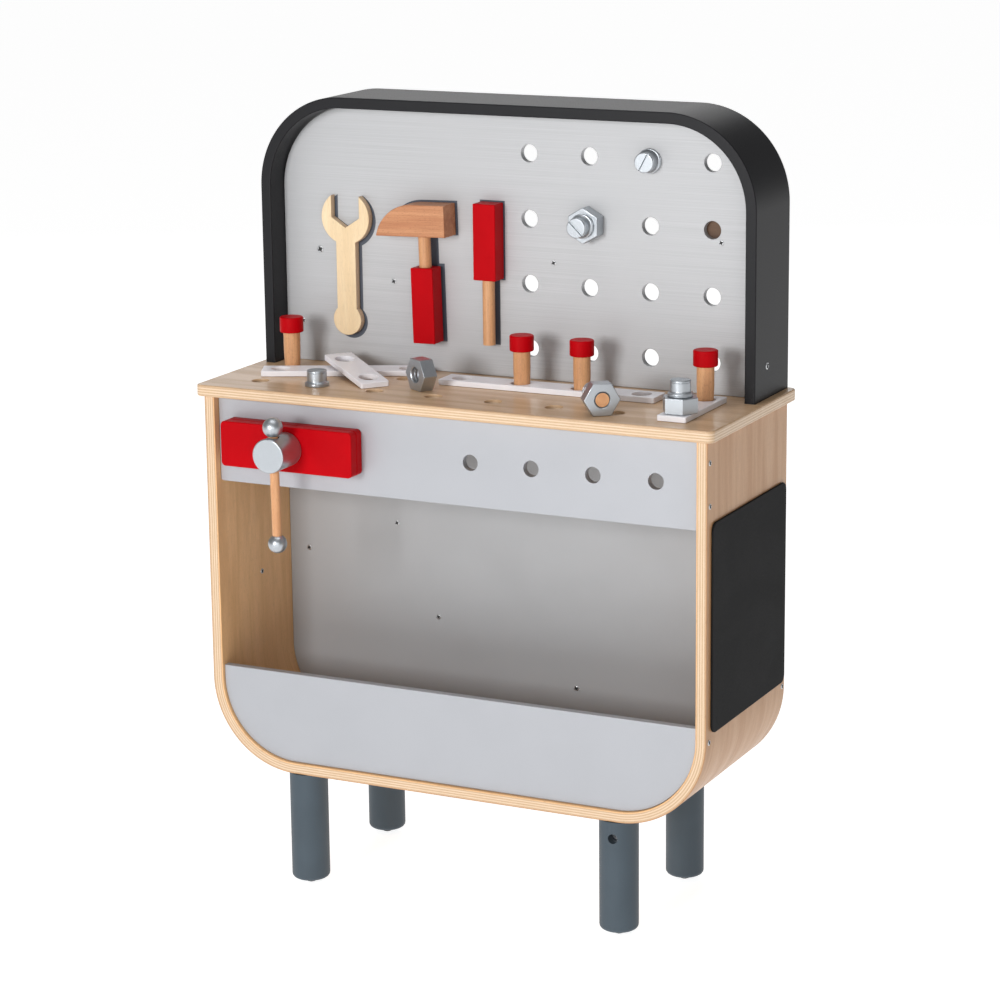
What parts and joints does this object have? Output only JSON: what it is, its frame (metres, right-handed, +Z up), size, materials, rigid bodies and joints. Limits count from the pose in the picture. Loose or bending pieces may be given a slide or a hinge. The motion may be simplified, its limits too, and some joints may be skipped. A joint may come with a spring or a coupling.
{
  "type": "toy workbench",
  "caption": "Child-size workbench: bent-ply cabinet on turned legs, holed worktop, hooded pegboard, screw vice, loose wooden tools, pegs, strips, nuts and bolts.",
  "frame": {"origin": "on the floor, under the middle of the object's bounding box", "axes": "+Z up, the bench faces -Y, +X to the right seen from the front"},
  "size_m": [0.6008, 0.2854, 0.855],
  "materials": {
    "birch": "clear-varnished birch plywood",
    "worktop": "satin-varnished birch plywood",
    "beech": "bare beech",
    "silver": "satin silver paint on wood board",
    "board_silver": "brushed silver facing on a wood board",
    "turned_silver": "silver paint on turned wood",
    "black": "satin black paint on bent plywood",
    "slate": "matt slate paint on turned wood",
    "red": "satin red paint on wood",
    "white": "satin white paint on wood",
    "chalk": "matt chalkboard paint",
    "steel": "zinc-plated steel",
    "rubber": "black plastic"
  },
  "bodies": {
    "bench": {"cabinet_shell": "birch", "front_apron": "silver", "lower_front_panel": "silver", "cabinet_back_panel": "silver", "worktop": "worktop", "hood": "black", "pegboard": "board_silver", "board_cleat": "beech", "side_chalkboard": "chalk", "leg_front_left": "slate", "leg_front_right": "slate", "leg_back_left": "slate", "leg_back_right": "slate", "glide_front_left": "rubber", "glide_front_right": "rubber", "glide_back_left": "rubber", "glide_back_right": "rubber", "leg_bolt_front_left": "steel", "leg_bolt_front_right": "steel", "leg_bolt_back_left": "steel", "leg_bolt_back_right": "steel", "barrel_nut_front_left": "steel", "barrel_nut_front_right": "steel", "barrel_nut_back_left": "steel", "barrel_nut_back_right": "steel", "vice_fixed_jaw": "red", "vice_nut_block": "birch"},
    "vice_jaw": {"vice_moving_jaw": "red"},
    "vice_screw_and_hub": {"vice_hub": "turned_silver", "vice_screw": "beech"},
    "vice_t_bar": {"vice_bar": "beech", "vice_ball_top": "turned_silver", "vice_ball_bottom": "turned_silver"},
    "peg_1": {"peg_1_cap": "red", "peg_1_dowel": "beech"},
    "peg_2": {"peg_2_cap": "red", "peg_2_dowel": "beech"},
    "peg_3": {"peg_3_cap": "red", "peg_3_dowel": "beech"},
    "peg_4": {"peg_4_cap": "red", "peg_4_dowel": "beech"},
    "wrench": {"wrench": "birch"},
    "hammer": {"hammer_head": "beech", "hammer_shaft": "beech", "hammer_grip": "red"},
    "screwdriver": {"screwdriver_grip": "red", "screwdriver_shaft": "beech"},
    "strip_3_hole": {"strip_3_hole": "white"},
    "strip_2_hole_leaning": {"strip_2_hole_leaning": "white"},
    "strip_4_hole": {"strip_4_hole": "white"},
    "strip_2_hole_right": {"strip_2_hole_right": "white"},
    "nut_on_strip": {"nut_on_strip": "turned_silver"},
    "nut_lying_left": {"nut_lying_left": "turned_silver"},
    "nut_lying_right": {"nut_lying_right": "turned_silver"},
    "nut_on_board": {"nut_on_board": "turned_silver"},
    "bolt_worktop": {"bolt_worktop": "turned_silver"},
    "bolt_on_strip": {"bolt_on_strip": "turned_silver"},
    "bolt_lying_right": {"bolt_lying_right": "turned_silver"},
    "bolt_on_board": {"bolt_on_board": "turned_silver"},
    "bolt_in_board_nut": {"bolt_in_board_nut": "turned_silver"}
  },
  "joints": [
    {"name": "vice_opening", "type": "slide", "parent": "bench", "child": "vice_jaw", "axis": [0, -1, 0], "range_m": [0, 0.03]},
    {"name": "vice_screw_turn", "type": "hinge", "parent": "vice_jaw", "child": "vice_screw_and_hub", "pos_m": [-0.183, -0.10725, 0.4985], "axis": [0, -1, 0], "range_deg": [0, 1800]},
    {"name": "t_bar_slide", "type": "slide", "parent": "vice_screw_and_hub", "child": "vice_t_bar", "axis": [-0.0164, 0, 0.9999], "range_m": [0, 0.07]},
    {"name": "peg_1_lift", "type": "slide", "parent": "bench", "child": "peg_1", "axis": [0, 0, 1], "range_m": [0, 0.05]},
    {"name": "strip_4_hole_lift", "type": "slide", "parent": "bench", "child": "strip_4_hole", "axis": [0, 0, 1], "range_m": [0, 0.025]},
    {"name": "peg_2_lift", "type": "slide", "parent": "strip_4_hole", "child": "peg_2", "axis": [0, 0, 1], "range_m": [0, 0.05]},
    {"name": "peg_3_lift", "type": "slide", "parent": "strip_4_hole", "child": "peg_3", "axis": [0, 0, 1], "range_m": [0, 0.05]},
    {"name": "strip_right_lift", "type": "slide", "parent": "bench", "child": "strip_2_hole_right", "axis": [0, 0, 1], "range_m": [0, 0.04]},
    {"name": "peg_4_lift", "type": "slide", "parent": "strip_2_hole_right", "child": "peg_4", "axis": [0, 0, 1], "range_m": [0, 0.05]},
    {"name": "nut_on_strip_lift", "type": "slide", "parent": "strip_2_hole_right", "child": "nut_on_strip", "axis": [0, 0, 1], "range_m": [0, 0.02]},
    {"name": "bolt_on_strip_lift", "type": "slide", "parent": "nut_on_strip", "child": "bolt_on_strip", "axis": [0, 0, 1], "range_m": [0, 0.04]},
    {"name": "strip_3_hole_lift", "type": "slide", "parent": "bench", "child": "strip_3_hole", "axis": [0, 0, 1], "range_m": [0, 0.006]},
    {"name": "strip_leaning_lift", "type": "slide", "parent": "strip_3_hole", "child": "strip_2_hole_leaning", "axis": [0, 0, 1], "range_m": [0, 0.006]},
    {"name": "bolt_worktop_lift", "type": "slide", "parent": "bench", "child": "bolt_worktop", "axis": [0, 0, 1], "range_m": [0, 0.045]},
    {"name": "nut_left_lift", "type": "slide", "parent": "bench", "child": "nut_lying_left", "axis": [0, 0, 1], "range_m": [0, 0.04]},
    {"name": "nut_right_lift", "type": "slide", "parent": "bench", "child": "nut_lying_right", "axis": [0, 0, 1], "range_m": [0, 0.04]},
    {"name": "bolt_in_nut_unscrew", "type": "slide", "parent": "nut_lying_right", "child": "bolt_lying_right", "axis": [-0.6157, 0.788, 0], "range_m": [0, 0.028]},
    {"name": "bolt_on_board_pull", "type": "slide", "parent": "bench", "child": "bolt_on_board", "axis": [0, -1, 0], "range_m": [0, 0.04]},
    {"name": "nut_on_board_pull", "type": "slide", "parent": "bench", "child": "nut_on_board", "axis": [0, -1, 0], "range_m": [0, 0.03]},
    {"name": "bolt_in_board_nut_pull", "type": "slide", "parent": "nut_on_board", "child": "bolt_in_board_nut", "axis": [0, -1, 0], "range_m": [0, 0.04]},
    {"name": "wrench_pull", "type": "slide", "parent": "bench", "child": "wrench", "axis": [0, -1, 0], "range_m": [0, 0.05]},
    {"name": "hammer_pull", "type": "slide", "parent": "bench", "child": "hammer", "axis": [0, -1, 0], "range_m": [0, 0.05]},
    {"name": "screwdriver_pull", "type": "slide", "parent": "bench", "child": "screwdriver", "axis": [0, -1, 0], "range_m": [0, 0.05]}
  ],
  "couplings": [
    {"joint": "vice_screw_turn", "follows": "vice_opening", "rad_per_m": 1047.2}
  ]
}
